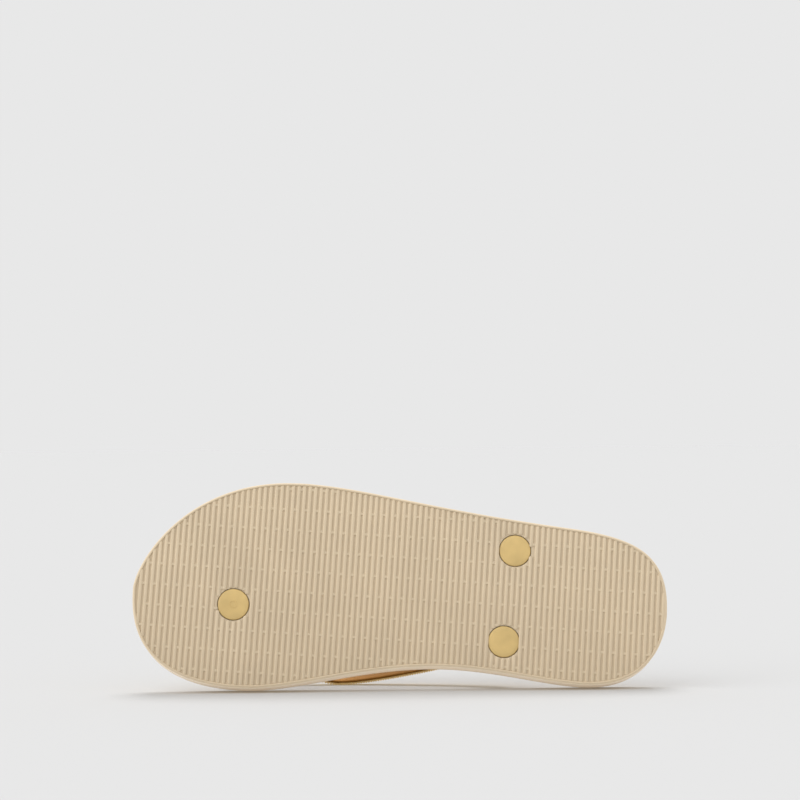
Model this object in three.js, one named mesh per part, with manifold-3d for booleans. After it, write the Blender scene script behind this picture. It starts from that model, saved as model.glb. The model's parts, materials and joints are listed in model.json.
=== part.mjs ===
// A left-foot flip flop: a three-layer sole with a reeded tread, and a one-piece Y strap that is
// held by a plug at the toe and by two plugs at the waist.
// Millimetres, +Z up out of the footbed, toe towards -Y, inner side of the foot towards -X.
// The origin is the middle of the tread, on the plane that the sole stands on.

import * as THREE from 'three';
import { mergeGeometries, mergeVertices } from 'three/addons/utils/BufferGeometryUtils.js';
import Module from 'manifold-3d';

const wasm = await Module();
wasm.setup();

// ---------------------------------------------------------------- driving dimensions

const soleLength = 255;
const ballInner = 50;             // half widths, measured from the long axis
const ballOuter = 50;
const waistInner = 33.9;
const heelInner = 38.5;
const heelOuter = 36;
const toeTipInner = 5.8;          // how far the toe tip lies inward of the long axis
const heelTipInner = 2.3;

const ballInnerFromToe = 54;
const ballOuterFromToe = 77;
const waistFromHeel = 100.4;
const heelInnerFromHeel = 39;
const heelOuterFromHeel = 48;

const outsoleThickness = 4.5;
const midsoleThickness = 6.5;
const footbedThickness = 4;
const treadEdgeRound = 1;
const footbedEdgeRound = 1.5;

const ribPitch = 2.684;
const ribOffset = -0.495;          // middle rib from the middle of the sole
const grooveMouth = 1.5;
const grooveFloor = 0.6;
const grooveDepth = 0.9;
const treadBorder = 1.5;          // smooth rim round the ribs

const plugRadius = 7.5;
const plugThickness = 2.4;
const plugDome = 0.4;
const plugSunk = 0.1;             // crown of the plug above the standing plane
const plugClearance = 0.45;       // ring gap round the plug
const stemRadius = 3.5;
const fitGap = 0.3;               // between pieces that touch

const toePlugFromToe = 48.4;
const toePlugInner = 10.4;        // from the long axis
const innerPlugFromHeel = 76.9;
const outerPlugFromHeel = 73.9;
const rearPlugFromEdge = 14.8;

const postRadius = 3.8;
const postHeight = 19;            // above the footbed
const postLean = 6;               // how far its top lies behind its foot
const yokeRadius = 5.4;

const strapInner = { crownFromToe: 99, crownOut: 39.2, crownHeight: 27 };
const strapOuter = { crownFromToe: 104, crownOut: 43.5, crownHeight: 27 };
const bandThickness = 2.6;
const bandWidthAtYoke = 7;
const bandWidthAtCrown = 9;
const bandWidthAtRoot = 13;
const yokeThickness = 4.2;
const rootThickness = 6;
const rootCollar = 4;             // straight stretch where a band stands on the footbed
const shoulderShare = 0.3;        // share of a band, from the yoke, over which it takes its full width
const rootShare = 0.28;           // share of a band, before its foot, over which it thickens

// How full the strap's curves are: each handle as a share of the distance that its curve spans.
const postRise = { foot: 0.4, head: 0.35, lean: 0.5 };
const bandRise = { out: 0.36, along: 0.28, up: 0.62, crown: 0.3 };
const bandFall = { crown: 0.17, out: 0.2, along: 0.08, down: 0.62 };

const outlineSteps = 14;          // facets in each outline curve
const bandSteps = 30;
const bandSectionSides = 12;
const roundSides = 32;

// ---------------------------------------------------------------- places worked out from them

const toeY = -soleLength / 2;
const heelY = soleLength / 2;
const midsoleFloor = outsoleThickness;
const footbedFloor = outsoleThickness + midsoleThickness;
const footbedTop = footbedFloor + footbedThickness;

// ---------------------------------------------------------------- materials

function finish(color, roughness) {
  return new THREE.MeshStandardMaterial({ color, roughness, metalness: 0 });
}

const treadRubber = () => finish(0xc5b498, 0.8);
const foam = () => finish(0xbfae93, 0.85);
const footbedRubber = () => finish(0xb8a88f, 0.85);
const goldRubber = () => finish(0xd5b87d, 0.45);

// ---------------------------------------------------------------- solids from rings and from booleans

// Joins equal rings of points, each turning anticlockwise about the way they are stacked.
function solidFromRings(rings, capFaces) {
  const count = rings[0].length;
  const index = [];
  for (let level = 0; level + 1 < rings.length; level += 1) {
    for (let i = 0; i < count; i += 1) {
      const next = (i + 1) % count;
      const low = level * count;
      const high = low + count;
      index.push(low + i, low + next, high + next);
      index.push(low + i, high + next, high + i);
    }
  }
  const top = (rings.length - 1) * count;
  for (const [a, b, c] of capFaces) {
    index.push(c, b, a);
    index.push(top + a, top + b, top + c);
  }
  const geometry = new THREE.BufferGeometry().setFromPoints(rings.flat());
  geometry.setIndex(index);
  return geometry;
}

function toManifold(geometry) {
  const bare = geometry.clone();
  bare.deleteAttribute('normal');
  bare.deleteAttribute('uv');
  const merged = mergeVertices(bare, 1e-4);
  return new wasm.Manifold(new wasm.Mesh({
    numProp: 3,
    vertProperties: new Float32Array(merged.attributes.position.array),
    triVerts: new Uint32Array(merged.index.array),
  }));
}

function toGeometry(manifold) {
  const mesh = manifold.getMesh();
  const geometry = new THREE.BufferGeometry();
  geometry.setAttribute('position', new THREE.BufferAttribute(mesh.vertProperties, 3));
  geometry.setIndex(new THREE.BufferAttribute(mesh.triVerts, 1));
  return geometry;
}

function pin(radius, low, high, place) {
  const cylinder = new THREE.CylinderGeometry(radius, radius, high - low, roundSides);
  cylinder.rotateX(Math.PI / 2);
  cylinder.translate(place.x, place.y, (low + high) / 2);
  return toManifold(cylinder);
}

// ---------------------------------------------------------------- outline of the sole

// Turning points of the outline, anticlockwise from the toe tip as seen from above. The outline
// runs along `way` there, and `arrive` and `leave` say how full the curve is on each side, as a
// share of the distance to the neighbouring point.
const outlineTurns = [
  { at: [-toeTipInner, toeY], way: [1, 0], arrive: 0.85, leave: 0.215 },
  { at: [ballOuter, toeY + ballOuterFromToe], way: [0, 1], arrive: 0.727, leave: 0.232 },
  { at: [heelOuter, heelY - heelOuterFromHeel], way: [-0.08, 1], arrive: 0.538, leave: 0.646 },
  { at: [-heelTipInner, heelY], way: [-1, 0], arrive: 0.735, leave: 0.33 },
  { at: [-heelInner, heelY - heelInnerFromHeel], way: [0, -1], arrive: 0.86, leave: 0.28 },
  { at: [-waistInner, heelY - waistFromHeel], way: [0, -1], arrive: 0.39, leave: 0.4 },
  { at: [-ballInner, toeY + ballInnerFromToe], way: [0, -1], arrive: 0.263, leave: 0.45 },
];

function outlineCurve(from, to) {
  const start = new THREE.Vector2(...from.at);
  const end = new THREE.Vector2(...to.at);
  const span = end.clone().sub(start);
  const startWay = new THREE.Vector2(...from.way).normalize();
  const endWay = new THREE.Vector2(...to.way).normalize();
  const startHandle = startWay.clone().multiplyScalar(from.leave * Math.abs(span.dot(startWay)));
  const endHandle = endWay.clone().multiplyScalar(to.arrive * Math.abs(span.dot(endWay)));
  return new THREE.CubicBezierCurve(start, start.clone().add(startHandle), end.clone().sub(endHandle), end);
}

function soleOutline() {
  const points = [];
  outlineTurns.forEach((turn, i) => {
    const curve = outlineCurve(turn, outlineTurns[(i + 1) % outlineTurns.length]);
    points.push(...curve.getPoints(outlineSteps).slice(0, -1));
  });
  return points;
}

const outline = soleOutline();

function insetOutline(inset) {
  return outline.map((point, i) => {
    const before = outline[(i + outline.length - 1) % outline.length];
    const after = outline[(i + 1) % outline.length];
    const way = after.clone().sub(before).normalize();
    return new THREE.Vector2(point.x - way.y * inset, point.y + way.x * inset);
  });
}

// How far the sole's edge lies from the long axis, at a distance along it; side is -1 inner, 1 outer.
function edgeX(y, side) {
  for (let i = 0; i < outline.length; i += 1) {
    const a = outline[i];
    const b = outline[(i + 1) % outline.length];
    const crosses = (a.y - y) * (b.y - y) <= 0 && a.y !== b.y;
    const x = a.x + (b.x - a.x) * (y - a.y) / (b.y - a.y);
    if (crosses && x * side > 0) return x;
  }
  throw new Error('the sole has no edge there');
}

// ---------------------------------------------------------------- where the strap is held

const innerPlugY = heelY - innerPlugFromHeel;
const outerPlugY = heelY - outerPlugFromHeel;

const anchors = {
  toe: new THREE.Vector2(-toePlugInner, toeY + toePlugFromToe),
  inner: new THREE.Vector2(edgeX(innerPlugY, -1) + rearPlugFromEdge, innerPlugY),
  outer: new THREE.Vector2(edgeX(outerPlugY, 1) - rearPlugFromEdge, outerPlugY),
};

// ---------------------------------------------------------------- sole layers

// One sheet of the sole: each profile entry is [height, inset from the outline].
function soleSheet(profile) {
  const rings = profile.map(([z, inset]) => insetOutline(inset).map((p) => new THREE.Vector3(p.x, p.y, z)));
  const capFaces = THREE.ShapeUtils.triangulateShape(outline, []);
  return toManifold(solidFromRings(rings, capFaces));
}

function withStemHoles(sheet, low, high) {
  const holes = Object.values(anchors).map((place) => pin(stemRadius + fitGap, low - 1, high + 1, place));
  return sheet.subtract(wasm.Manifold.union(holes));
}

// All the grooves across the sole, cut off where the smooth rim begins.
function treadGrooves() {
  const half = ballInner + ballOuter;
  const section = new THREE.Shape([
    new THREE.Vector2(-grooveMouth / 2, 0),
    new THREE.Vector2(-grooveMouth / 2, -1),
    new THREE.Vector2(grooveMouth / 2, -1),
    new THREE.Vector2(grooveMouth / 2, 0),
    new THREE.Vector2(grooveFloor / 2, grooveDepth),
    new THREE.Vector2(-grooveFloor / 2, grooveDepth),
  ]);
  const count = Math.ceil(soleLength / ribPitch / 2);
  const bars = [];
  for (let i = -count; i < count; i += 1) {
    const bar = new THREE.ExtrudeGeometry(section, { depth: 2 * half, bevelEnabled: false });
    bar.rotateX(Math.PI / 2);
    bar.rotateZ(Math.PI / 2);
    bar.translate(-half, ribOffset + (i + 0.5) * ribPitch, 0);
    bars.push(bar);
  }
  const field = soleSheet([[-2, treadBorder], [grooveDepth + 1, treadBorder]]);
  return toManifold(mergeGeometries(bars)).intersect(field);
}

function outsole() {
  const sheet = soleSheet([
    [0, treadEdgeRound],
    [treadEdgeRound * 0.3, treadEdgeRound * 0.3],
    [treadEdgeRound, 0],
    [outsoleThickness, 0],
  ]);
  const seatTop = plugSunk + plugDome + plugThickness + fitGap;
  const seats = Object.values(anchors).map((place) => pin(plugRadius + plugClearance, -1, seatTop, place));
  const tread = withStemHoles(sheet, 0, outsoleThickness).subtract(treadGrooves());
  return toGeometry(tread.subtract(wasm.Manifold.union(seats)));
}

function midsole() {
  const sheet = soleSheet([[midsoleFloor, 0], [footbedFloor, 0]]);
  return toGeometry(withStemHoles(sheet, midsoleFloor, footbedFloor));
}

function footbed() {
  const sheet = soleSheet([
    [footbedFloor, 0],
    [footbedTop - footbedEdgeRound, 0],
    [footbedTop - footbedEdgeRound * 0.3, footbedEdgeRound * 0.3],
    [footbedTop, footbedEdgeRound],
  ]);
  return toGeometry(withStemHoles(sheet, footbedFloor, footbedTop));
}

// ---------------------------------------------------------------- plugs and toe post

// A domed disc sunk in the tread, with the stem that comes down through the sole.
function plug() {
  const rim = plugSunk + plugDome;
  const back = rim + plugThickness;
  const profile = [
    new THREE.Vector2(0, plugSunk),
    new THREE.Vector2(plugRadius * 0.5, plugSunk + plugDome * 0.25),
    new THREE.Vector2(plugRadius - plugDome, rim - plugDome * 0.2),
    new THREE.Vector2(plugRadius, rim + plugDome),
    new THREE.Vector2(plugRadius, back),
    new THREE.Vector2(stemRadius, back),
    new THREE.Vector2(stemRadius, footbedTop),
    new THREE.Vector2(0, footbedTop),
  ];
  const geometry = new THREE.LatheGeometry(profile, roundSides);
  geometry.rotateX(Math.PI / 2);
  return geometry;
}

// A ring of the strap's section: an oval with flattened faces, standing across `way`.
function sectionRing(centre, way, outward, width, thickness) {
  const face = outward.clone().addScaledVector(way, -outward.dot(way)).normalize();
  const across = new THREE.Vector3().crossVectors(way, face);
  const ring = [];
  for (let i = 0; i < bandSectionSides; i += 1) {
    const angle = (i + 0.5) * 2 * Math.PI / bandSectionSides;
    const c = Math.cos(angle);
    const s = Math.sin(angle);
    const bulge = (Math.abs(c) ** 3 + Math.abs(s) ** 3) ** (-1 / 3);
    ring.push(centre.clone()
      .addScaledVector(face, c * bulge * thickness / 2)
      .addScaledVector(across, s * bulge * width / 2));
  }
  return ring;
}

const fanFaces = Array.from({ length: bandSectionSides - 2 }, (_, i) => [0, i + 1, i + 2]);
const strapFoot = footbedTop + fitGap;
const yokeCentre = new THREE.Vector3(anchors.toe.x, anchors.toe.y + postLean, footbedTop + postHeight);

// The post between the toes, leaning back into the yoke where the two bands part.
function toePost() {
  const foot = new THREE.Vector3(anchors.toe.x, anchors.toe.y, strapFoot);
  const spine = new THREE.CubicBezierCurve3(
    foot,
    foot.clone().setZ(strapFoot + postHeight * postRise.foot),
    yokeCentre.clone().add(new THREE.Vector3(0, -postLean * postRise.lean, -postHeight * postRise.head)),
    yokeCentre,
  );
  const steps = 8;
  const rings = [];
  for (let i = 0; i <= steps; i += 1) {
    const t = i / steps;
    const way = i === 0 ? new THREE.Vector3(0, 0, 1) : spine.getTangent(t);
    const radius = THREE.MathUtils.lerp(postRadius, yokeRadius, t ** 3);
    rings.push(sectionRing(spine.getPoint(t), way, new THREE.Vector3(0, 1, 0), 2 * radius, 2 * radius));
  }
  return solidFromRings(rings, fanFaces);
}

// ---------------------------------------------------------------- strap bands

function smooth(from, to, t) {
  return THREE.MathUtils.lerp(from, to, THREE.MathUtils.smoothstep(t, 0, 1));
}

// Spine of a band: up and out from the yoke to its crown, then back and straight down to its plug.
function bandSpine(side, sizes, anchor) {
  const crown = new THREE.Vector3(side * sizes.crownOut, toeY + sizes.crownFromToe, footbedTop + sizes.crownHeight);
  const root = new THREE.Vector3(anchor.x, anchor.y, strapFoot + rootCollar);
  const outward = crown.clone().sub(yokeCentre);
  const start = yokeCentre.clone().addScaledVector(outward.clone().normalize(), yokeRadius + fitGap);
  const reach = outward.length();
  const drop = root.clone().sub(crown);
  const path = new THREE.CurvePath();
  path.add(new THREE.CubicBezierCurve3(
    start,
    start.clone().add(outward.clone().multiply(new THREE.Vector3(bandRise.out, bandRise.along, bandRise.up))),
    crown.clone().add(new THREE.Vector3(0, -reach * bandRise.crown, 0)),
    crown,
  ));
  path.add(new THREE.CubicBezierCurve3(
    crown,
    crown.clone().add(new THREE.Vector3(0, drop.y * bandFall.crown, 0)),
    root.clone().sub(drop.clone().multiply(new THREE.Vector3(bandFall.out, bandFall.along, bandFall.down))),
    root,
  ));
  return path;
}

function strapBand(side, sizes, anchor) {
  const spine = bandSpine(side, sizes, anchor);
  const down = new THREE.Vector3(0, 0, -1);
  const rings = [];
  for (let i = 0; i <= bandSteps; i += 1) {
    const t = i / bandSteps;
    const centre = spine.getPoint(t);
    const way = i === bandSteps ? down : spine.getTangent(t);
    const outward = new THREE.Vector3(centre.x, 0, centre.z - footbedTop);
    const towardsRoot = THREE.MathUtils.clamp((t - 1 + rootShare) / rootShare, 0, 1);
    const fromYoke = THREE.MathUtils.clamp(t / shoulderShare, 0, 1);
    const width = smooth(bandWidthAtYoke, bandWidthAtCrown, fromYoke)
      + (bandWidthAtRoot - bandWidthAtCrown) * towardsRoot ** 2;
    const thickness = smooth(yokeThickness, bandThickness, fromYoke)
      + (rootThickness - bandThickness) * towardsRoot ** 2;
    rings.push(sectionRing(centre, way, outward, width, thickness));
  }
  rings.push(rings[bandSteps].map((point) => point.clone().setZ(strapFoot)));
  return solidFromRings(rings, fanFaces);
}

// ---------------------------------------------------------------- assembly

const flipFlop = new THREE.Group();

function addPiece(name, geometry, material) {
  const mesh = new THREE.Mesh(geometry, material);
  mesh.name = name;
  flipFlop.add(mesh);
  return mesh;
}

addPiece('tread_outsole', outsole(), treadRubber());
addPiece('midsole', midsole(), foam());
addPiece('footbed', footbed(), footbedRubber());
for (const [name, place] of Object.entries(anchors)) {
  addPiece(`${name}_plug`, plug(), goldRubber()).position.set(place.x, place.y, 0);
}
addPiece('toe_post', toePost(), goldRubber());
addPiece('inner_strap_band', strapBand(-1, strapInner, anchors.inner), goldRubber());
addPiece('outer_strap_band', strapBand(1, strapOuter, anchors.outer), goldRubber());

export default flipFlop;
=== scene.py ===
"""A left-foot flip flop: reeded rubber tread, layered sole, slim gold strap with plugs, and its stage."""

import json
import math
from typing import NamedTuple

import bmesh
import bpy
import numpy as np
from bpy.props import FloatProperty, FloatVectorProperty, IntProperty, PointerProperty
from mathutils import Matrix, Vector

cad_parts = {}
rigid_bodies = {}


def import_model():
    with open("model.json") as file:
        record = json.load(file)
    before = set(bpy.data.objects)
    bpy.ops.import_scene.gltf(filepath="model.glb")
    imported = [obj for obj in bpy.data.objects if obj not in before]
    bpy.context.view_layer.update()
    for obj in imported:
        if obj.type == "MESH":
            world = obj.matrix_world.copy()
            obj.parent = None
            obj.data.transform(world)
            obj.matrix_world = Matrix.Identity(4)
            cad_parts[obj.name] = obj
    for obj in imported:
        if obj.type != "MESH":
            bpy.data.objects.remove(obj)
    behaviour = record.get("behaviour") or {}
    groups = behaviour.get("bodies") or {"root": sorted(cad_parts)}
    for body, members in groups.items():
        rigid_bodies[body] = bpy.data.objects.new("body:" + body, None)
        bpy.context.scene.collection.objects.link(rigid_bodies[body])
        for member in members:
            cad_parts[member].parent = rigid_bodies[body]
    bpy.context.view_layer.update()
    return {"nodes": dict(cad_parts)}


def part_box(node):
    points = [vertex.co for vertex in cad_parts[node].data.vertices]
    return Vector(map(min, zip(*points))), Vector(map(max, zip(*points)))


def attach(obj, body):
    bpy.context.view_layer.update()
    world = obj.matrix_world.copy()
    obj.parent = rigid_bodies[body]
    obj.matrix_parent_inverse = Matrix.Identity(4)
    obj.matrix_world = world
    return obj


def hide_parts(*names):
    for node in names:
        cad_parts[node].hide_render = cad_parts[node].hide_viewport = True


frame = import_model()

bl_info = {
    "name": "Flip Flop Builder",
    "version": (1, 0, 0),
    "blender": (4, 5, 0),
    "location": "3D View > Sidebar > Flip Flop",
    "description": "Builds the sole, tread, footbed, strap and plugs of a flip flop round its CAD frame",
    "category": "Object",
}

BODY = "root"
MM = 0.001
INNER = -1
OUTER = 1

PLUGS = ("toe_plug", "inner_plug", "outer_plug")

RIB_SQUARENESS = 2.4
BAND_SQUARENESS = 3

# Where two sheets of the sole meet, each edge is worn back this far, over this height.
SEAM_INSET = 0.2 * MM
SEAM_HEIGHT = 0.25 * MM

# The strap's curves: how far their handles reach, as shares of the span that they cross.
YOKE_HANDLE = (0.36, 0.28, 0.62)
CROWN_HANDLE = 0.3
CROWN_FALL = 0.17
ROOT_HANDLE = (0.2, 0.08, 0.62)
POST_FOOT_HANDLE = 0.4
POST_HEAD_HANDLE = (0, 0.5, 0.35)

# Shares of a band's length over which it changes its width and thickness.
SHOULDER_SHARE = 0.3
ROOT_SHARE = 0.28

# How deep the strap's feet reach into the footbed.
BURIED = 0.6 * MM

# The knuckle's half sizes along X, Y and Z, as shares of the yoke radius.
YOKE_SHAPE = (1.02, 1.12, 0.72)

# Where the camera looks on the tread, and how far it stands to the right of that.
AIM = Vector((1.25 * MM, -0.42 * MM, 0))
SIDESTEP = 0.24 * MM

FLOOR_SIZE = 40


def box_of(node):
    """Lowest and highest corner of a CAD node."""
    low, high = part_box(node)
    return Vector(low), Vector(high)


def centre_of(node):
    low, high = box_of(node)
    return (low + high) / 2


SOLE_LENGTH = box_of("footbed")[1].y - box_of("footbed")[0].y
SOLE_WIDTH = box_of("footbed")[1].x - box_of("footbed")[0].x
TREAD_TOP = box_of("tread_outsole")[1].z
FOOTBED_FLOOR = box_of("footbed")[0].z
FOOTBED_TOP = box_of("footbed")[1].z
TOE_Y = box_of("footbed")[0].y
PLUG_RADIUS = (box_of("toe_plug")[1].x - box_of("toe_plug")[0].x) / 2
PLUG_CENTRES = {name: centre_of(name) for name in PLUGS}


def nearest_plug(x, y):
    """Distance from a place on the sole to the middle of the nearest plug."""
    return min(math.hypot(x - plug.x, y - plug.y) for plug in PLUG_CENTRES.values())


# ---------------------------------------------------------------- sizes and colours


def metres(name, description, default):
    return FloatProperty(name=name, description=description, default=default, unit="LENGTH", precision=5)


def colour(name, description, default):
    return FloatVectorProperty(
        name=name, description=description, default=default, size=3, subtype="COLOR", min=0, max=1
    )


class SoleSizes(bpy.types.PropertyGroup):
    rib_pitch: metres("Rib pitch", "Distance between the ribs of the tread", 2.684 * MM)
    rib_offset: metres("Rib offset", "Middle rib from the middle of the sole", -0.495 * MM)
    rib_half_width: metres("Rib half width", "Half the width of a rib at its foot", 0.94 * MM)
    groove_depth: metres("Groove depth", "Depth of the grooves between the ribs", 0.7 * MM)
    rim_width: metres("Rim width", "Smooth rim round the ribs", 1.15 * MM)
    row_spacing: metres("Bridge row spacing", "Distance between the rows of bridges", 9.93 * MM)
    row_offset: metres("Bridge row offset", "Middle row of bridges from the long axis", -2.75 * MM)
    bridge_half_width: metres("Bridge half width", "Half the width of a bridge between two ribs", 0.75 * MM)
    bridge_height: metres("Bridge height", "Height of a bridge over the floor of its groove", 0.42 * MM)
    seat_gap: metres("Seat gap", "Ring gap round each plug", 0.3 * MM)
    edge_round: metres("Edge rounding", "Rounding of the tread's edge", 1.0 * MM)
    footbed_round: metres("Footbed rounding", "Rounding of the footbed's edge", 1.6 * MM)
    pip_pitch: metres("Pip pitch", "Distance between the pips of the footbed", 3.4 * MM)
    pip_radius: metres("Pip radius", "Radius of a pip of the footbed", 0.95 * MM)
    outline_points: IntProperty(
        name="Outline points", description="Points round the sole's outline", default=320, min=60
    )
    tread_colour: colour("Tread", "Colour of the tread rubber", (0.645, 0.525, 0.365))
    side_colour: colour("Side", "Colour of the middle sheet", (0.60, 0.475, 0.325))
    footbed_colour: colour("Footbed", "Colour of the footbed rubber", (0.52, 0.42, 0.30))


class StrapSizes(bpy.types.PropertyGroup):
    post_radius: metres("Post radius", "Radius of the toe post", 3.8 * MM)
    post_height: metres("Post height", "Height of the yoke above the footbed", 19 * MM)
    post_lean: metres("Post lean", "How far the yoke lies behind the foot of the post", 6 * MM)
    yoke_radius: metres("Yoke radius", "Radius of the knuckle where the bands part", 5.4 * MM)
    crown_height: metres("Crown height", "Height of the bands' crowns above the footbed", 27 * MM)
    inner_crown_out: metres("Inner crown", "Inner band's crown from the long axis", 38.7 * MM)
    outer_crown_out: metres("Outer crown", "Outer band's crown from the long axis", 43.5 * MM)
    inner_crown_from_toe: metres("Inner crown from toe", "Inner crown's place along the sole", 99 * MM)
    outer_crown_from_toe: metres("Outer crown from toe", "Outer crown's place along the sole", 104 * MM)
    width_at_yoke: metres("Width at yoke", "Band width where it leaves the yoke", 7 * MM)
    width_at_crown: metres("Width at crown", "Band width at its crown", 9 * MM)
    width_at_root: metres("Width at root", "Band width where it meets the footbed", 13 * MM)
    band_thickness: metres("Band thickness", "Band thickness at its crown", 2.6 * MM)
    yoke_thickness: metres("Yoke thickness", "Band thickness where it leaves the yoke", 4.2 * MM)
    root_thickness: metres("Root thickness", "Band thickness where it meets the footbed", 6 * MM)
    root_collar: metres("Root collar", "Straight stretch above the footbed", 4 * MM)
    reed_pitch: metres("Reed pitch", "Distance between the fine reeds across the bands", 1.2 * MM)
    reed_radius: metres("Reed radius", "Radius of a reed", 0.4 * MM)
    reed_sink: metres("Reed sink", "How far the skin lies inside the band's outline", 0.22 * MM)
    mark_radius: metres("Mark radius", "Radius of the ring on the toe plug", 1.7 * MM)
    gold: colour("Gold", "Colour of the strap's outside and of the plugs", (0.66, 0.47, 0.19))
    # Painted shade: a dark orange-brown that stands in for the shade on the strap's inner face under the
    # sole, not a colour of the rubber.
    painted_inner_shade: colour("Deep gold", "Colour of the strap's inner face", (0.15, 0.06, 0.002))


class StageSizes(bpy.types.PropertyGroup):
    lens: FloatProperty(name="Lens", description="Focal length on a 36 mm sensor", default=128.25)
    distance: metres("Distance", "Camera distance", 1359.5 * MM)
    drop: metres("Drop", "How far the sole sits below the middle of the view", 90.6 * MM)
    tilt: FloatProperty(
        name="Tilt", description="Lean of the sole away from the view plane",
        default=math.radians(11.8), subtype="ANGLE",
    )
    turn: FloatProperty(
        name="Turn", description="Turn of the sole in the view plane",
        default=math.radians(3.5), subtype="ANGLE",
    )
    sink: metres("Sink", "How far the rubber gives where it rests on the floor", 0.05 * MM)
    backdrop: FloatProperty(name="Backdrop", description="Brightness of the backdrop", default=0.807)
    ambient: FloatProperty(name="Ambient", description="Strength of the light from all round", default=0.76)


class Light(NamedTuple):
    """A far light: bearing from the camera towards the right and height over the floor, in degrees."""

    name: str
    around: float
    height: float
    strength: float
    spread: float
    on_floor: bool


LIGHTS = (
    Light("key", -60, 40, 1.15, 70, True),
    Light("top", 180, 65, 1.5, 30, True),
    Light("left_rim", -88, 15, 1.0, 40, False),
    Light("right_rim", 88, 15, 1.0, 40, False),
    Light("glow", 180, -72, 1.7, 50, False),
)


def sunlight_on_floor():
    """How brightly the far lights together light the open floor."""
    lit = [light for light in LIGHTS if light.on_floor]
    return sum(light.strength * math.sin(math.radians(light.height)) / math.pi for light in lit)


# ---------------------------------------------------------------- node helpers


class Wire:
    """A socket on which arithmetic adds Math nodes."""

    def __init__(self, shader, socket):
        self.shader = shader
        self.socket = socket

    def maths(self, operation, first, second):
        return self.shader.node("ShaderNodeMath", {"operation": operation}, {0: first, 1: second})

    def __add__(self, other):
        return self.maths("ADD", self, other)

    def __mul__(self, other):
        return self.maths("MULTIPLY", self, other)


class Shader:
    """A material's nodes."""

    def __init__(self, name):
        self.material = bpy.data.materials.new(name)
        self.material.use_nodes = True
        self.tree = self.material.node_tree
        self.surface = self.tree.nodes["Principled BSDF"]

    def fill(self, node, values):
        for key, value in values.items():
            if isinstance(value, Wire):
                self.tree.links.new(value.socket, node.inputs[key])
            elif node.inputs[key].type == "RGBA":
                node.inputs[key].default_value = (*value[:3], 1)
            else:
                node.inputs[key].default_value = value

    def node(self, kind, settings=None, values=None, output=0):
        node = self.tree.nodes.new(kind)
        for key, value in (settings or {}).items():
            setattr(node, key, value)
        self.fill(node, values or {})
        return Wire(self, node.outputs[output])

    def place(self):
        return self.node("ShaderNodeTexCoord", output="Object")

    def axis(self, name):
        return self.node("ShaderNodeSeparateXYZ", values={0: self.place()}, output=name)

    def noise(self, scale, detail=2, stretch=(1, 1, 1)):
        mapped = self.node("ShaderNodeMapping", values={"Vector": self.place(), "Scale": stretch})
        return self.node("ShaderNodeTexNoise", values={"Vector": mapped, "Scale": scale, "Detail": detail})

    def ramp(self, wire, low, high, to_low=0.0, to_high=1.0):
        values = {"Value": wire, "From Min": low, "From Max": high, "To Min": to_low, "To Max": to_high}
        return self.node("ShaderNodeMapRange", {"clamp": True}, values)

    def blend(self, factor, first, second):
        node = self.tree.nodes.new("ShaderNodeMix")
        node.data_type = "RGBA"
        colours = [s for s in node.inputs if s.type == "RGBA"]
        for socket, value in ((node.inputs[0], factor), (colours[0], first), (colours[1], second)):
            if isinstance(value, Wire):
                self.tree.links.new(value.socket, socket)
            else:
                socket.default_value = value if isinstance(value, float) else (*value[:3], 1)
        result = [s for s in node.outputs if s.type == "RGBA"][0]
        return Wire(self, result)

    def bump(self, height, strength, distance):
        values = {"Height": height, "Strength": strength, "Distance": distance}
        return self.node("ShaderNodeBump", values=values)

    def set(self, **values):
        self.fill(self.surface, {key.replace("_", " "): value for key, value in values.items()})
        return self.material


def scaled(rgb, factor):
    return tuple(min(1, value * factor) for value in rgb)


# ---------------------------------------------------------------- materials


def tread_rubber(sole):
    """Matt sand rubber with a fine random dusty speckle, and painted shade that darkens it deeper in the
    grooves.
    """
    shader = Shader("tread_rubber")
    base = tuple(sole.tread_colour)
    cloud = shader.noise(35, 3)
    grain = shader.noise(1800, 2)
    mottled = shader.blend(shader.ramp(cloud, 0.35, 0.65), scaled(base, 0.97), scaled(base, 1.03))
    dusty = shader.blend(shader.ramp(grain, 0.35, 0.75) * 0.25, mottled, scaled(base, 0.86))
    # Painted shade: the colour darkens towards the floor of the grooves, where shade falls.
    depth = shader.ramp(shader.axis("Z"), 0.25 * MM, sole.groove_depth)
    painted_groove_shade = shader.blend(depth * 0.15, dusty, scaled(base, 0.8))
    rough = shader.ramp(grain, 0.3, 0.7, 0.62, 0.78)
    return shader.set(
        Base_Color=painted_groove_shade,
        Roughness=rough,
        Normal=shader.bump(grain, 0.18, 0.15 * MM),
        Specular_IOR_Level=0.35,
        Sheen_Weight=0.3,
        Sheen_Roughness=0.35,
    )


def cut_foam(sole):
    """The sheet's cut side: fine closed cells and faint trimming marks along the edge."""
    shader = Shader("midsole_foam")
    base = tuple(sole.side_colour)
    cells = shader.node("ShaderNodeTexVoronoi", values={"Vector": shader.place(), "Scale": 1500})
    trim = shader.noise(220, 3, (0.2, 0.2, 6))
    tinted = shader.blend(shader.ramp(trim, 0.3, 0.7), scaled(base, 0.95), scaled(base, 1.04))
    return shader.set(
        Base_Color=tinted,
        Roughness=shader.ramp(trim, 0.2, 0.8, 0.72, 0.86),
        Normal=shader.bump(cells * 0.5 + trim, 0.2, 0.2 * MM),
        Specular_IOR_Level=0.3,
        Sheen_Weight=0.3,
        Sheen_Roughness=0.35,
    )


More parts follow.
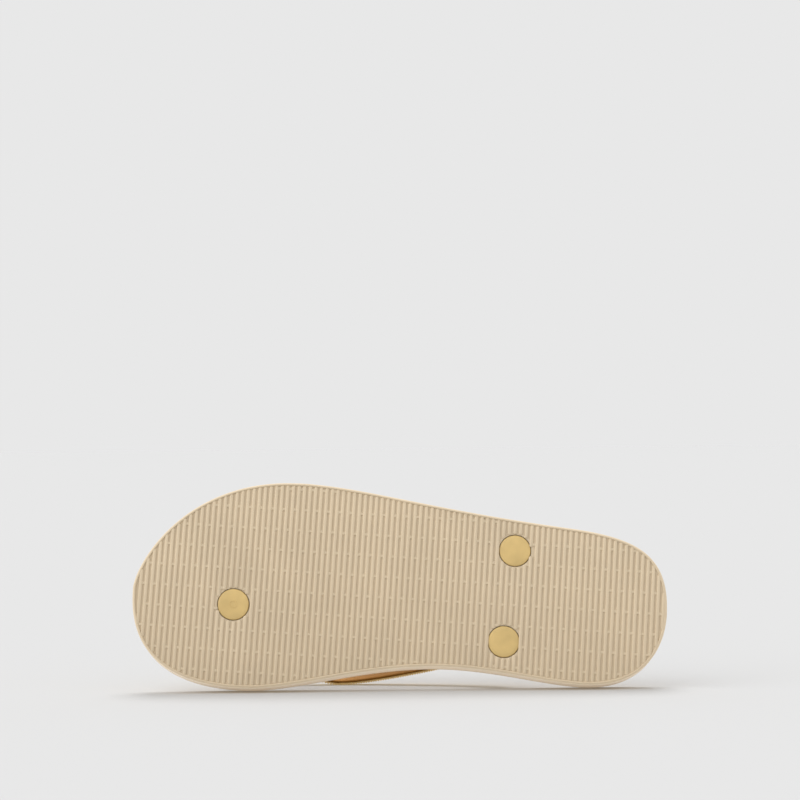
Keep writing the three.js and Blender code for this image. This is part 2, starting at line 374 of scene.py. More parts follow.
def footbed_rubber(sole):
    """Textured rubber, its pips a shade lighter than the ground between them."""
    shader = Shader("footbed_rubber")
    base = tuple(sole.footbed_colour)
    cloud = shader.noise(28, 3)
    grain = shader.noise(2200, 2)
    mottled = shader.blend(shader.ramp(cloud, 0.35, 0.65), scaled(base, 0.95), scaled(base, 1.05))
    raised = shader.ramp(shader.axis("Z"), FOOTBED_TOP - 0.05 * MM, FOOTBED_TOP + 0.2 * MM)
    lifted = shader.blend(raised * 0.5, mottled, scaled(base, 1.18))
    return shader.set(
        Base_Color=lifted,
        Roughness=shader.ramp(grain, 0.3, 0.7, 0.6, 0.8),
        Normal=shader.bump(grain, 0.2, 0.15 * MM),
        Specular_IOR_Level=0.35,
    )


def gold_rubber(strap):
    """Satin gold rubber; where the attribute inner_face says the strap faces the foot, it takes a dark
    painted-shade colour and a partly metallic finish.
    """
    shader = Shader("strap_rubber")
    gold = tuple(strap.gold)
    grain = shader.noise(1500, 2)
    cloud = shader.noise(90, 2)
    outside = shader.blend(shader.ramp(cloud, 0.35, 0.65), scaled(gold, 0.88), scaled(gold, 1.04))
    inner = shader.node("ShaderNodeAttribute", {"attribute_name": "inner_face"}, output="Fac")
    # Painted shade: the inner face takes the dark shade colour in place of the gold.
    colour_wire = shader.blend(inner, outside, tuple(strap.painted_inner_shade))
    return shader.set(
        Base_Color=colour_wire,
        Roughness=shader.ramp(grain, 0.3, 0.7, 0.38, 0.52),
        Normal=shader.bump(grain, 0.08, 0.1 * MM),
        Metallic=inner * 0.85,
        Specular_IOR_Level=0.35,
    )


# ---------------------------------------------------------------- mesh helpers


def deselect():
    bpy.ops.object.select_all(action="DESELECT")


def activate(piece):
    deselect()
    piece.select_set(True)
    bpy.context.view_layer.objects.active = piece


def piece_from(name, points, faces):
    mesh = bpy.data.meshes.new(name)
    mesh.from_pydata([tuple(p) for p in points], [], faces)
    piece = bpy.data.objects.new(name, mesh)
    bpy.context.collection.objects.link(piece)
    return piece


def ring_stack(name, rings):
    """A closed solid through equal rings of points, capped at both ends."""
    count = len(rings[0])
    faces = [tuple(reversed(range(count)))]
    for level in range(len(rings) - 1):
        low = level * count
        high = low + count
        for i in range(count):
            j = (i + 1) % count
            faces.append((low + i, low + j, high + j, high + i))
    last = (len(rings) - 1) * count
    faces.append(tuple(range(last, last + count)))
    return piece_from(name, np.concatenate(rings), faces)


def join(pieces, name):
    deselect()
    for piece in pieces:
        piece.select_set(True)
    bpy.context.view_layer.objects.active = pieces[0]
    bpy.ops.object.join()
    joined = bpy.context.object
    joined.name = name
    return joined


def point_outwards(piece):
    activate(piece)
    bpy.ops.object.mode_set(mode="EDIT")
    bpy.ops.mesh.select_all(action="SELECT")
    bpy.ops.mesh.normals_make_consistent(inside=False)
    bpy.ops.object.mode_set(mode="OBJECT")


def smooth(piece, angle=35):
    activate(piece)
    bpy.ops.object.shade_smooth_by_angle(angle=math.radians(angle))


def cut(piece, cutter):
    activate(piece)
    modifier = piece.modifiers.new("cut", "BOOLEAN")
    modifier.operation = "DIFFERENCE"
    modifier.solver = "EXACT"
    modifier.object = cutter
    bpy.ops.object.modifier_apply(modifier="cut")
    bpy.data.objects.remove(cutter)


def dress(piece, material, slot, *nodes):
    """Gives a finished piece its material and its place in the frame."""
    piece.data.materials.clear()
    piece.data.materials.append(material)
    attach(piece, BODY)
    if nodes:
        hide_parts(*nodes)


def scattered(name, seed, transforms):
    """Copies of a small seed mesh, one for each function from its points to their place."""
    points = np.array([v.co[:] for v in seed.data.vertices])
    faces = [tuple(p.vertices) for p in seed.data.polygons]
    all_points = []
    all_faces = []
    for transform in transforms:
        start = len(all_points) * len(points)
        all_points.append(transform(points))
        all_faces.extend(tuple(start + i for i in face) for face in faces)
    bpy.data.objects.remove(seed)
    return piece_from(name, np.concatenate(all_points), all_faces)


# ---------------------------------------------------------------- outline of the sole


def sole_outline(count):
    """The sole's outline, read from the middle sheet and rounded to evenly spaced points."""
    mesh = frame["nodes"]["midsole"].data
    top = max(v.co.z for v in mesh.vertices)
    rim = set()
    for vertex in mesh.vertices:
        place = Vector((vertex.co.x, vertex.co.y))
        clear = nearest_plug(*place) > PLUG_RADIUS
        if clear and abs(vertex.co.z - top) < 0.01 * MM:
            rim.add((round(place.x, 6), round(place.y, 6)))
    ordered = np.array(sorted(rim, key=lambda p: math.atan2(p[1], p[0])))
    return even_spacing(rounded_curve(ordered), count)


def rounded_curve(points, steps=12):
    """A closed curve that bends smoothly through the points."""
    before, after = np.roll(points, 1, axis=0), np.roll(points, -1, axis=0)
    beyond = np.roll(points, -2, axis=0)
    pieces = []
    for k in range(steps):
        t = k / steps
        pieces.append(0.5 * (
            2 * points + (after - before) * t
            + (2 * before - 5 * points + 4 * after - beyond) * t ** 2
            + (3 * points - before - 3 * after + beyond) * t ** 3
        ))
    return np.stack(pieces, axis=1).reshape(-1, 2)


def even_spacing(points, count):
    closed = np.vstack([points, points[:1]])
    lengths = np.hypot(*np.diff(closed, axis=0).T)
    along = np.concatenate([[0], np.cumsum(lengths)])
    wanted = np.linspace(0, along[-1], count, endpoint=False)
    return np.stack([np.interp(wanted, along, closed[:, i]) for i in range(2)], axis=1)


def inset(outline, distance):
    way = np.roll(outline, -1, axis=0) - np.roll(outline, 1, axis=0)
    way /= np.hypot(*way.T)[:, None]
    return outline + np.stack([-way[:, 1], way[:, 0]], axis=1) * distance


def at_height(outline, z):
    return np.column_stack([outline, np.full(len(outline), z)])


def crossings(outline, y):
    """Where a line across the sole meets the outline: inner and outer x, or None beyond its ends."""
    ends = np.roll(outline, -1, axis=0)
    hit = (outline[:, 1] - y) * (ends[:, 1] - y) < 0
    if not hit.any():
        return None
    a, b = outline[hit], ends[hit]
    x = a[:, 0] + (b[:, 0] - a[:, 0]) * (y - a[:, 1]) / (b[:, 1] - a[:, 1])
    return float(x.min()), float(x.max())


def rounding(radius, steps=5):
    """Height and inset round a quarter circle, from the flat face to the upright side."""
    angles = [math.pi / 2 * k / steps for k in range(steps + 1)]
    return [(radius * (1 - math.cos(a)), radius * (1 - math.sin(a))) for a in angles]


def sheet(name, outline, profile):
    """One sheet of the sole; each profile entry is its height and its inset from the outline."""
    return ring_stack(name, [at_height(inset(outline, step), z) for z, step in profile])


def bulge(across, up, squareness):
    """How far a flattened oval reaches beyond a circle, in the direction (across, up)."""
    return (abs(across) ** squareness + abs(up) ** squareness) ** (-1 / squareness)


# ---------------------------------------------------------------- tread


def clear_of_plugs(start, end, y, reach):
    """The stretches from start to end that stay outside the plugs' seats."""
    stretches = [(start, end)]
    for plug in PLUG_CENTRES.values():
        away = abs(y - plug.y)
        if away >= reach:
            continue
        half = math.sqrt(reach ** 2 - away ** 2)
        cut_stretches = []
        for low, high in stretches:
            cut_stretches.append((low, min(high, plug.x - half)))
            cut_stretches.append((max(low, plug.x + half), high))
        stretches = cut_stretches
    return stretches


def rounded_bar():
    """A ball whose ends lie on X and whose section has flattened faces, to be drawn out into a bar."""
    deselect()
    bpy.ops.mesh.primitive_uv_sphere_add(segments=20, ring_count=7, radius=1, rotation=(0, math.pi / 2, 0))
    bpy.ops.object.transform_apply(rotation=True)
    bar = bpy.context.object
    for vertex in bar.data.vertices:
        along, across, up = vertex.co
        reach = math.hypot(across, up)
        if reach > 0.01:
            stretch = reach * bulge(across, up, RIB_SQUARENESS)
            vertex.co = (along, across * stretch, up * stretch)
    return bar


def drawn_out(low, high, y, half_width, height, z):
    """Turns the ball into a bar along X, from low to high, centred on y and z."""
    def transform(points):
        middle = np.where(points[:, 0] < 0, low + half_width, high - half_width)
        return np.column_stack([
            middle + points[:, 0] * half_width,
            y + points[:, 1] * half_width,
            z + points[:, 2] * height,
        ])
    return transform


def tread_ribs(sole, outline):
    """A rib every pitch, run a little into the rim and stopped short of the plugs' seats."""
    overlap = 0.1 * MM
    clearance = 0.15 * MM
    shortest = 2.5 * sole.rib_half_width
    inside = inset(outline, sole.rim_width - overlap)
    reach = PLUG_RADIUS + sole.seat_gap + clearance
    depth = sole.groove_depth
    bars = []
    half_count = int(SOLE_LENGTH / 2 / sole.rib_pitch)
    for k in range(-half_count, half_count + 1):
        y = k * sole.rib_pitch + sole.rib_offset
        ends = crossings(inside, y)
        if ends is None:
            continue
        for low, high in clear_of_plugs(*ends, y, reach):
            if high - low > shortest:
                bars.append(drawn_out(low, high, y, sole.rib_half_width, depth, depth))
    return scattered("ribs", rounded_bar(), bars)


def bridge_block():
    """A block with bevelled edges, flat-sided enough to read as a bridge."""
    bevel = 0.6
    deselect()
    bpy.ops.mesh.primitive_cube_add(size=2)
    bpy.ops.object.mode_set(mode="EDIT")
    bpy.ops.mesh.select_all(action="SELECT")
    bpy.ops.mesh.bevel(offset=bevel, segments=2, affect="EDGES")
    bpy.ops.object.mode_set(mode="OBJECT")
    return bpy.context.object


def tread_bridges(sole, outline):
    """Small bridges over every second groove, their rows staggered by one groove."""
    inside = inset(outline, sole.rim_width + sole.bridge_half_width)
    reach = PLUG_RADIUS + sole.seat_gap + sole.bridge_half_width
    blocks = []
    half_count = int(SOLE_LENGTH / 2 / sole.rib_pitch)
    half_rows = int(SOLE_WIDTH / 2 / sole.row_spacing) + 1
    for k in range(-half_count, half_count):
        y = (k + 0.5) * sole.rib_pitch + sole.rib_offset
        ends = crossings(inside, y)
        if ends is None:
            continue
        for row in range(-half_rows, half_rows + 1):
            x = row * sole.row_spacing + sole.row_offset
            near_plug = nearest_plug(x, y) < reach
            if (k + row) % 2 or near_plug or not ends[0] < x < ends[1]:
                continue
            size = np.array([sole.bridge_half_width, sole.rib_pitch / 2, sole.bridge_height])
            place = np.array([x, y, sole.groove_depth])
            blocks.append(lambda points, size=size, place=place: points * size + place)
    return scattered("bridges", bridge_block(), blocks)


def plug_seats(sole):
    """Round cutters for the recesses that the plugs' discs sit in."""
    seat_depth = 3.2 * MM
    cutter_height = 6 * MM
    cutters = []
    for place in PLUG_CENTRES.values():
        deselect()
        bpy.ops.mesh.primitive_cylinder_add(
            vertices=96, radius=PLUG_RADIUS + sole.seat_gap, depth=cutter_height,
            location=(place.x, place.y, seat_depth - cutter_height / 2),
        )
        bpy.ops.object.transform_apply(location=True)
        cutters.append(bpy.context.object)
    return join(cutters, "seats")


def build_tread(sole):
    """The outsole's sheet, its rim sloping down to the floor of the grooves, with ribs and bridges."""
    outline = sole_outline(sole.outline_points)
    rim = sole.rim_width
    slope = 0.3 * MM
    base = sheet("tread", outline, [
        (sole.groove_depth, rim + slope),
        (0.3 * sole.groove_depth, rim + 0.4 * slope),
        (0.1 * sole.groove_depth, rim),
        *rounding(sole.edge_round),
        (TREAD_TOP - SEAM_HEIGHT, 0),
        (TREAD_TOP, SEAM_INSET),
    ])
    point_outwards(base)
    cut(base, plug_seats(sole))
    tread = join([base, tread_ribs(sole, outline), tread_bridges(sole, outline)], "tread")
    smooth(tread, 40)
    dress(tread, tread_rubber(sole), "tread_rubber", "tread_outsole")


# ---------------------------------------------------------------- upper sheets of the sole


def build_midsole(sole):
    """The soft middle sheet, its side a little hollow between the two seams."""
    outline = sole_outline(sole.outline_points)
    glue_line = 0.02 * MM
    soft_edge = 0.3 * MM
    hollow = 0.12 * MM
    core = sheet("middle_sheet", outline, [
        (TREAD_TOP + glue_line, SEAM_INSET),
        (TREAD_TOP + soft_edge, 0),
        ((TREAD_TOP + FOOTBED_FLOOR) / 2, hollow),
        (FOOTBED_FLOOR - soft_edge, 0),
        (FOOTBED_FLOOR - glue_line, SEAM_INSET),
    ])
    point_outwards(core)
    smooth(core)
    dress(core, cut_foam(sole), "midsole_foam", "midsole")


def footbed_pips(sole, outline):
    """Low round pips in offset rows over the footbed, short of its edge and of the strap's feet."""
    edge_margin = 5 * MM
    foot_margin = 9.5 * MM
    pip_height = 0.3 * MM
    deselect()
    bpy.ops.mesh.primitive_uv_sphere_add(segments=8, ring_count=5, radius=1)
    seed = bpy.context.object
    inside = inset(outline, edge_margin)
    pips = []
    row_step = sole.pip_pitch * math.sqrt(3) / 2
    rows = int(SOLE_LENGTH / 2 / row_step)
    columns = int(SOLE_WIDTH / 2 / sole.pip_pitch) + 1
    for row in range(-rows, rows + 1):
        y = row * row_step
        ends = crossings(inside, y)
        if ends is None:
            continue
        shift = 0.5 * (row % 2)
        for k in range(-columns, columns + 1):
            x = (k + shift) * sole.pip_pitch
            near_foot = nearest_plug(x, y) < foot_margin
            if near_foot or not ends[0] < x < ends[1]:
                continue
            size = np.array([sole.pip_radius, sole.pip_radius, pip_height])
            place = np.array([x, y, FOOTBED_TOP])
            pips.append(lambda points, size=size, place=place: points * size + place)
    return scattered("pips", seed, pips)


def build_footbed(sole):
    """The top sheet with its rounded edge, the shallow groove inside that edge, and the pips."""
    outline = sole_outline(sole.outline_points)
    groove_start = 3.2 * MM
    groove_depth = 0.25 * MM
    groove_slope = 0.3 * MM
    groove_floor = 0.6 * MM
    top = sheet("footbed_sheet", outline, [
        (FOOTBED_FLOOR, SEAM_INSET),
        (FOOTBED_FLOOR + SEAM_HEIGHT, 0),
        *((FOOTBED_TOP - drop, step) for drop, step in reversed(rounding(sole.footbed_round))),
        (FOOTBED_TOP, groove_start),
        (FOOTBED_TOP - groove_depth, groove_start + groove_slope),
        (FOOTBED_TOP - groove_depth, groove_start + groove_slope + groove_floor),
        (FOOTBED_TOP, groove_start + 2 * groove_slope + groove_floor),
    ])
    point_outwards(top)
    footbed = join([top, footbed_pips(sole, outline)], "footbed_sheet")
    smooth(footbed, 40)
    dress(footbed, footbed_rubber(sole), "footbed_rubber", "footbed")


# ---------------------------------------------------------------- strap


def bezier(points, t):
    a, b, c, d = points
    s = 1 - t
    return a * s ** 3 + b * 3 * s * s * t + c * 3 * s * t * t + d * t ** 3


def unit(vector):
    return vector / np.linalg.norm(vector)


def yoke_centre(strap):
    foot = PLUG_CENTRES["toe_plug"]
    return np.array([foot.x, foot.y + strap.post_lean, FOOTBED_TOP + strap.post_height])


def band_spine(strap, side):
    """The two curves of a band: yoke to crown, and crown to the collar over its plug."""
    inner = side == INNER
    out = strap.inner_crown_out if inner else strap.outer_crown_out
    from_toe = strap.inner_crown_from_toe if inner else strap.outer_crown_from_toe
    plug = PLUG_CENTRES["inner_plug" if inner else "outer_plug"]
    yoke = yoke_centre(strap)
    crown = np.array([side * out, TOE_Y + from_toe, FOOTBED_TOP + strap.crown_height])
    root = np.array([plug.x, plug.y, FOOTBED_TOP + strap.root_collar])
    span = crown - yoke
    inside_yoke = 0.4 * strap.yoke_radius
    start = yoke + unit(span) * inside_yoke
    drop = root - crown
    first = (
        start,
        start + span * np.array(YOKE_HANDLE),
        crown - np.array([0, np.linalg.norm(span) * CROWN_HANDLE, 0]),
        crown,
    )
    second = (
        crown,
        crown + np.array([0, drop[1] * CROWN_FALL, 0]),
        root - drop * np.array(ROOT_HANDLE),
        root,
    )
    return first, second


def eased(first, second, t):
    t = min(max(t, 0), 1)
    return first + (second - first) * t * t * (3 - 2 * t)


def band_frames(strap, side, steps):
    """Along a band: its centre, its outward face and cross direction, half width and half thickness."""
    first, second = band_spine(strap, side)
    samples = np.linspace(0, 1, 200)
    dense = np.array([bezier(first, t) for t in samples] + [bezier(second, t) for t in samples[1:]])
    along = np.concatenate([[0], np.cumsum(np.linalg.norm(np.diff(dense, axis=0), axis=1))])
    wanted = np.linspace(0, along[-1], steps)
    centres = np.stack([np.interp(wanted, along, dense[:, i]) for i in range(3)], axis=1)
    ways = np.gradient(centres, axis=0)
    frames = []
    for i, centre in enumerate(centres):
        t = wanted[i] / along[-1]
        way = unit(ways[i]) if i < steps - 1 else np.array([0, 0, -1.0])
        outward = np.array([centre[0], 0, centre[2] - FOOTBED_TOP])
        face = unit(outward - way * outward.dot(way))
        to_root = min(max((t - (1 - ROOT_SHARE)) / ROOT_SHARE, 0), 1) ** 2
        width = eased(strap.width_at_yoke, strap.width_at_crown, t / SHOULDER_SHARE)
        width += (strap.width_at_root - strap.width_at_crown) * to_root
        thick = eased(strap.yoke_thickness, strap.band_thickness, t / SHOULDER_SHARE)
        thick += (strap.root_thickness - strap.band_thickness) * to_root
        frames.append((centre, face, np.cross(way, face), width / 2, thick / 2))
    return frames


def section(band_frame, angle, grow=0.0):
    """A point of the band's flattened oval section; angle 0 is the middle of its outer face."""
    centre, face, across, half_width, half_thick = band_frame
    c, s = math.cos(angle), math.sin(angle)
    stretch = bulge(c, s, BAND_SQUARENESS)
    return centre + face * c * stretch * (half_thick + grow) + across * s * stretch * (half_width + grow)


def band_body(strap, side):
    """A band from the yoke to its foot, a little thinner than its outline so that the reeds stand out."""
    sides = 24
    steps = 90
    angles = [2 * math.pi * (i + 0.5) / sides for i in range(sides)]
    rings = []
    for band_frame in band_frames(strap, side, steps):
        rings.append(np.array([section(band_frame, a, -strap.reed_sink) for a in angles]))
    foot = rings[-1].copy()
    foot[:, 2] = FOOTBED_TOP
    buried = foot.copy()
    buried[:, 2] = FOOTBED_TOP - BURIED
    return ring_stack("band", rings + [foot, buried])


def post_body(strap):
    """The toe post, leaning back to the yoke, flared at its foot and stouter at its head."""
    flare_width = 0.9 * MM
    flare_share = 1 / 8
    head_growth = 0.28
    foot = PLUG_CENTRES["toe_plug"]
    yoke = yoke_centre(strap)
    base = np.array([foot.x, foot.y, FOOTBED_TOP])
    spine = (
        base,
        base + np.array([0, 0, strap.post_height * POST_FOOT_HANDLE]),
        yoke - np.array([0, strap.post_lean, strap.post_height]) * POST_HEAD_HANDLE,
        yoke,
    )
    sides = 28
    rings = []
    steps = 16
    for i in range(-1, steps + 1):
        t = max(i, 0) / steps
        centre = bezier(spine, t)
        centre[2] -= BURIED if i < 0 else 0
        flare = flare_width * max(0, 1 - t / flare_share) ** 2
        radius = strap.post_radius * (1 + head_growth * t ** 3) + flare
        rings.append(np.array([
            centre + radius * np.array([math.cos(a), math.sin(a), 0])
            for a in np.linspace(0, 2 * math.pi, sides, endpoint=False)
        ]))
    return ring_stack("post", rings)


def yoke_ball(strap):
    """The knuckle where the post and both bands meet."""
    deselect()
    bpy.ops.mesh.primitive_uv_sphere_add(segments=32, ring_count=20, radius=1, location=(0, 0, 0))
    ball = bpy.context.object
    ball.scale = [strap.yoke_radius * share for share in YOKE_SHAPE]
    ball.location = yoke_centre(strap)
    bpy.ops.object.transform_apply(location=True, scale=True)
    return ball


def melt_together(piece, voxel, rounds):
    """One skin over overlapping bodies, eased where they meet."""
    activate(piece)
    remesh = piece.modifiers.new("skin", "REMESH")
    remesh.mode = "VOXEL"
    remesh.voxel_size = voxel
    bpy.ops.object.modifier_apply(modifier="skin")
    ease = piece.modifiers.new("ease", "SMOOTH")
    ease.factor = 0.5
    ease.iterations = rounds
    bpy.ops.object.modifier_apply(modifier="ease")


def band_reeds(strap, side):
    """Fine reeds across a band's outer face, turned over both its edges."""
    length = 0
    for curve in band_spine(strap, side):
        points = [bezier(curve, t) for t in np.linspace(0, 1, 60)]
        length += np.linalg.norm(np.diff(points, axis=0), axis=1).sum()
    count = int(length / strap.reed_pitch)
    frames = band_frames(strap, side, count)
    reach = math.radians(108)
    points_across = 13
    round_sides = 6
    bare_at_yoke = 7
    bare_at_root = 4
    thinnest = 0.05
    outward_step = 0.5 * MM
    reeds = []
    for band_frame in frames[bare_at_yoke:-bare_at_root]:
        _, face, across, _, _ = band_frame
        way = np.cross(face, across)
        angles = np.linspace(-reach, reach, points_across)
        line = np.array([section(band_frame, a, -strap.reed_sink) for a in angles])
        rings = []
        for k, point in enumerate(line):
            taper = math.sqrt(max(thinnest, 1 - (2 * k / (points_across - 1) - 1) ** 8))
            out = unit(section(band_frame, angles[k], outward_step) - point)
            rings.append(np.array([
                point + strap.reed_radius * taper * (out * math.cos(a) + way * math.sin(a))
                for a in np.linspace(0, 2 * math.pi, round_sides, endpoint=False)
            ]))
        reeds.append(ring_stack("reed", rings))
    joined = join(reeds, "reeds")
    point_outwards(joined)
    return joined


def mark_inner_face(piece):
    """Stores where the strap faces the foot, clear of its feet, as the attribute inner_face, which marks
    where the strap's material paints shade.
    """
    steepness = 3
    first_facing = 0.1
    feet_height = 3 * MM
    mesh = piece.data
    values = []
    for vertex in mesh.vertices:
        outward = Vector((vertex.co.x, 0, vertex.co.z - FOOTBED_TOP)).normalized()
        facing = -outward.dot(vertex.normal)
        share = min(max((facing - first_facing) * steepness, 0), 1)
        values.append(share if vertex.co.z > FOOTBED_TOP + feet_height else 0)
    attribute = mesh.attributes.new("inner_face", "FLOAT", "POINT")
    attribute.data.foreach_set("value", values)


def build_strap(strap):
    """Post, yoke and bands in one skin, with the reeds laid over the bands."""
    voxel = 0.45 * MM
    rounds = 6
    bodies = [band_body(strap, INNER), band_body(strap, OUTER), post_body(strap), yoke_ball(strap)]
    skin = join(bodies, "strap")
    point_outwards(skin)
    melt_together(skin, voxel, rounds)
    reeds = join([band_reeds(strap, INNER), band_reeds(strap, OUTER)], "reeds")
    mark_inner_face(skin)
    whole = join([skin, reeds], "strap")
    smooth(whole, 60)
    dress(whole, gold_rubber(strap), "strap_rubber", "toe_post", "inner_strap_band", "outer_strap_band")


# ---------------------------------------------------------------- plugs


def raised_ring(strap, x, y, z):
    """A plain moulded ring in the middle of a plug."""
    thickness = strap.mark_radius / 10
    bpy.ops.mesh.primitive_torus_add(
        location=(x, y, z), major_radius=strap.mark_radius, minor_radius=thickness,
        major_segments=48, minor_segments=8,
    )
    return bpy.context.object


def build_plug(strap, node, material):
    """A domed disc with a rounded rim, on its stem through the sole; the toe plug bears a ring."""
    low, high = box_of(node)
    place = (low + high) / 2
    radius = PLUG_RADIUS
    tip = 0.002 * MM
    chamfer = 0.2 * MM
    stem_radius = 3.5 * MM
    disc_top = low.z + 2.9 * MM
    stem_top = high.z - 1.0 * MM
    dome = [(tip, 0), (radius * 0.35, 0.02 * MM), (radius * 0.62, 0.08 * MM), (radius * 0.8, 0.16 * MM)]
    rim = [(0.55 * MM, 0.3 * MM), (0.2 * MM, 0.48 * MM), (0.03 * MM, 0.8 * MM), (0, 1.2 * MM)]
    profile = [(r, low.z + rise) for r, rise in dome]
    profile += [(radius - step, low.z + rise) for step, rise in rim]
    profile += [(radius, disc_top - chamfer), (radius - chamfer, disc_top)]
    profile += [(stem_radius, disc_top), (stem_radius, stem_top), (tip, stem_top)]
    angles = np.linspace(0, 2 * math.pi, 96, endpoint=False)
    rings = []
    for r, z in profile:
        rings.append(np.array([(place.x + r * math.cos(a), place.y + r * math.sin(a), z) for a in angles]))
    plug = ring_stack(node + "_disc", rings)
    if node == "toe_plug":
        dome_rise = 0.02 * MM
        plug = join([plug, raised_ring(strap, place.x, place.y, low.z + dome_rise)], node + "_disc")
    point_outwards(plug)
    smooth(plug, 40)
    dress(plug, material, "strap_rubber", node)


# ---------------------------------------------------------------- stage


def camera_axes(stage):
    """Right, up and forward of the camera, in the part's frame."""
    a, r = stage.tilt, stage.turn
    right = Vector((math.sin(r), math.cos(r), 0))
    up = Vector((math.cos(r) * math.cos(a), -math.sin(r) * math.cos(a), -math.sin(a)))
    forward = Vector((math.cos(r) * math.sin(a), -math.sin(r) * math.sin(a), math.cos(a)))
    return right, up, forward


def place_camera(stage):
    right, up, forward = camera_axes(stage)
    data = bpy.data.cameras.new("camera")
    data.lens = stage.lens
    data.sensor_width = 36
    data.clip_start = 0.01
    data.clip_end = 50
    camera = bpy.data.objects.new("camera", data)
    bpy.context.collection.objects.link(camera)
    eye = AIM - forward * stage.distance + up * stage.drop + right * SIDESTEP
    turn = Matrix((right, up, -forward)).transposed().to_4x4()
    camera.matrix_world = Matrix.Translation(eye) @ turn
    bpy.context.scene.camera = camera


def resting_plane(sink):
    """A point and the upward normal of the plane under the leaning sandal's heel, ball and strap."""
    lower_side = -20 * MM
    lean = math.radians(9)
    strictness = 200
    cloud = bmesh.new()
    for name in ("footbed_sheet", "strap", "tread", "middle_sheet"):
        for vertex in bpy.data.objects[name].data.vertices:
            if vertex.co.x < lower_side:
                cloud.verts.new(vertex.co)
    hull = bmesh.ops.convex_hull(cloud, input=cloud.verts)["geom"]
    down = Vector((-math.cos(lean), 0, math.sin(lean)))
    faces = [part for part in hull if isinstance(part, bmesh.types.BMFace)]
    best = max(faces, key=lambda face: face.calc_area() * max(0, face.normal.dot(down)) ** strictness)
    normal = -best.normal
    point = best.verts[0].co + normal * sink
    cloud.free()
    return point, normal


def one_sided_floor(brightness):
    """Pale and matt from above, and clear from below so that it never hides the sandal."""
    shader = Shader("floor")
    pale = shader.node("ShaderNodeBsdfDiffuse", values={"Color": (brightness,) * 3})
    clear = shader.node("ShaderNodeBsdfTransparent")
    below = shader.node("ShaderNodeNewGeometry", output="Backfacing")
    mix = shader.node("ShaderNodeMixShader", values={0: below, 1: pale, 2: clear})
    shader.fill(shader.tree.nodes["Material Output"], {"Surface": mix})
    return shader.material


def build_floor(stage, point, normal):
    """The floor, as bright as the backdrop wherever no shadow falls on it."""
    received = stage.ambient + sunlight_on_floor()
    deselect()
    bpy.ops.mesh.primitive_plane_add(size=FLOOR_SIZE)
    floor = bpy.context.object
    floor.name = "floor"
    floor.matrix_world = Matrix.Translation(point) @ normal.to_track_quat("Z", "Y").to_matrix().to_4x4()
    floor.data.materials.append(one_sided_floor(stage.backdrop / received))


def add_sun(name, towards, strength, spread):
    """A soft far light that shines from the direction `towards`."""
    data = bpy.data.lights.new(name, "SUN")
    data.energy = strength
    data.angle = math.radians(spread)
    light = bpy.data.objects.new(name, data)
    bpy.context.collection.objects.link(light)
    light.rotation_mode = "QUATERNION"
    light.rotation_quaternion = towards.to_track_quat("Z", "Y")
    return light


def light_stage(stage, floor_up):
    """Far lights placed by their bearing over the floor; some of them light the sandal alone."""
    right, _, forward = camera_axes(stage)
    behind = (forward - floor_up * forward.dot(floor_up)).normalized()
    side = behind.cross(floor_up)
    side *= math.copysign(1, side.dot(right))
    sandal = bpy.data.collections.new("sandal")
    for piece in bpy.data.objects:
        if piece.type == "MESH" and piece.name != "floor":
            sandal.objects.link(piece)
    for light in LIGHTS:
        around, height = math.radians(light.around), math.radians(light.height)
        level = side * math.sin(around) - behind * math.cos(around)
        towards = level * math.cos(height) + floor_up * math.sin(height)
        sun = add_sun(light.name, towards, light.strength, light.spread)
        if not light.on_floor:
            sun.light_linking.receiver_collection = sandal
            sun.light_linking.blocker_collection = sandal


def build_world(stage):
    """Pale grey all round: the camera sees the backdrop, and the object a gentler light."""
    world = bpy.data.worlds.new("studio")
    bpy.context.scene.world = world
    world.use_nodes = True
    tree = world.node_tree
    tree.nodes.clear()
    path = tree.nodes.new("ShaderNodeLightPath")
    seen = tree.nodes.new("ShaderNodeBackground")
    seen.inputs["Color"].default_value = (stage.backdrop, stage.backdrop, stage.backdrop, 1)
    lit = tree.nodes.new("ShaderNodeBackground")
    lit.inputs["Color"].default_value = (1, 1, 1, 1)
    lit.inputs["Strength"].default_value = stage.ambient
    mix = tree.nodes.new("ShaderNodeMixShader")
    out = tree.nodes.new("ShaderNodeOutputWorld")
    tree.links.new(path.outputs["Is Camera Ray"], mix.inputs["Fac"])
    tree.links.new(lit.outputs[0], mix.inputs[1])
    tree.links.new(seen.outputs[0], mix.inputs[2])
    tree.links.new(mix.outputs[0], out.inputs["Surface"])


# ---------------------------------------------------------------- operators and panel


class FLIPFLOP_OT_tread(bpy.types.Operator):
    """Build the outsole with its rim, ribs, bridges and plug seats"""

    bl_idname = "flipflop.tread"
    bl_label = "Tread"

    def execute(self, context):
        build_tread(context.scene.flipflop_sole)
        return {"FINISHED"}


class FLIPFLOP_OT_sheets(bpy.types.Operator):
    """Build the middle sheet and the footbed"""

    bl_idname = "flipflop.sheets"
    bl_label = "Upper sheets"

    def execute(self, context):
        build_midsole(context.scene.flipflop_sole)
        build_footbed(context.scene.flipflop_sole)
        return {"FINISHED"}


class FLIPFLOP_OT_strap(bpy.types.Operator):
    """Build the strap: toe post, yoke and both bands in one skin, with its reeds"""

    bl_idname = "flipflop.strap"
    bl_label = "Strap"

    def execute(self, context):
        build_strap(context.scene.flipflop_strap)
        return {"FINISHED"}


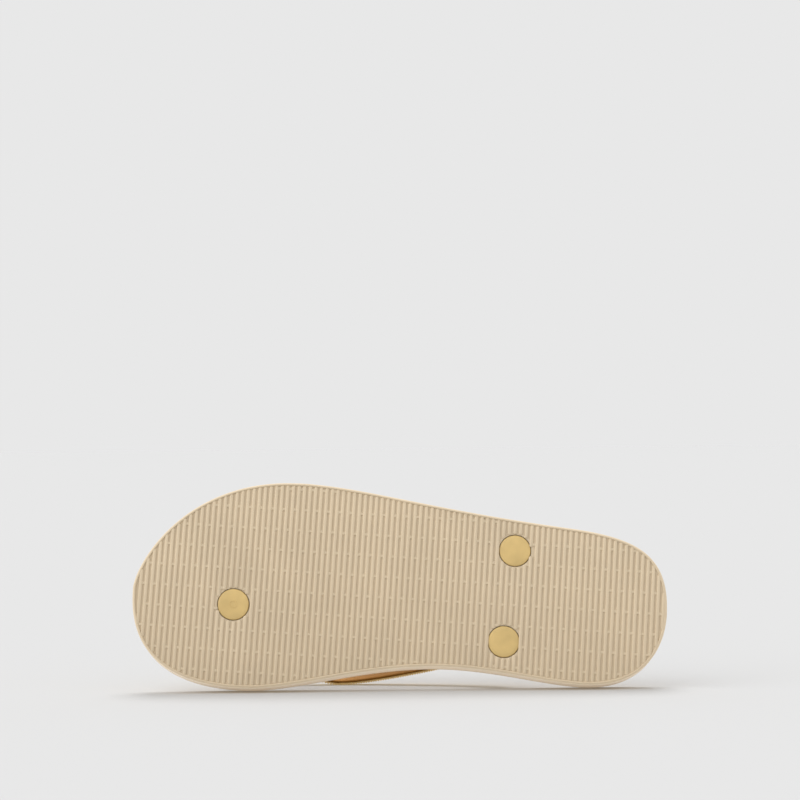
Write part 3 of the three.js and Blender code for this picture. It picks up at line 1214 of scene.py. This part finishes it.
class FLIPFLOP_OT_plugs(bpy.types.Operator):
    """Build the three plugs that hold the strap"""

    bl_idname = "flipflop.plugs"
    bl_label = "Plugs"

    def execute(self, context):
        material = bpy.data.objects["strap"].data.materials[0]
        for node in PLUGS:
            build_plug(context.scene.flipflop_strap, node, material)
        return {"FINISHED"}


class FLIPFLOP_OT_stage(bpy.types.Operator):
    """Set up the floor, the soft lights, the backdrop and the camera"""

    bl_idname = "flipflop.stage"
    bl_label = "Stage"

    def execute(self, context):
        stage = context.scene.flipflop_stage
        place_camera(stage)
        point, floor_up = resting_plane(stage.sink)
        build_floor(stage, point, floor_up)
        light_stage(stage, floor_up)
        build_world(stage)
        context.scene.view_settings.view_transform = "Standard"
        return {"FINISHED"}


class FLIPFLOP_PT_panel(bpy.types.Panel):
    bl_idname = "FLIPFLOP_PT_panel"
    bl_label = "Flip Flop"
    bl_space_type = "VIEW_3D"
    bl_region_type = "UI"
    bl_category = "Flip Flop"

    def draw(self, context):
        for operator in OPERATORS:
            self.layout.operator(operator.bl_idname)


OPERATORS = (
    FLIPFLOP_OT_tread,
    FLIPFLOP_OT_sheets,
    FLIPFLOP_OT_strap,
    FLIPFLOP_OT_plugs,
    FLIPFLOP_OT_stage,
)
CLASSES = (SoleSizes, StrapSizes, StageSizes, *OPERATORS, FLIPFLOP_PT_panel)


def register():
    for cls in CLASSES:
        bpy.utils.register_class(cls)
    bpy.types.Scene.flipflop_sole = PointerProperty(type=SoleSizes)
    bpy.types.Scene.flipflop_strap = PointerProperty(type=StrapSizes)
    bpy.types.Scene.flipflop_stage = PointerProperty(type=StageSizes)


def unregister():
    del bpy.types.Scene.flipflop_stage
    del bpy.types.Scene.flipflop_strap
    del bpy.types.Scene.flipflop_sole
    for cls in reversed(CLASSES):
        bpy.utils.unregister_class(cls)


def main():
    register()
    bpy.ops.flipflop.tread()
    bpy.ops.flipflop.sheets()
    bpy.ops.flipflop.strap()
    bpy.ops.flipflop.plugs()
    bpy.ops.flipflop.stage()


if __name__ == "__main__":
    main()
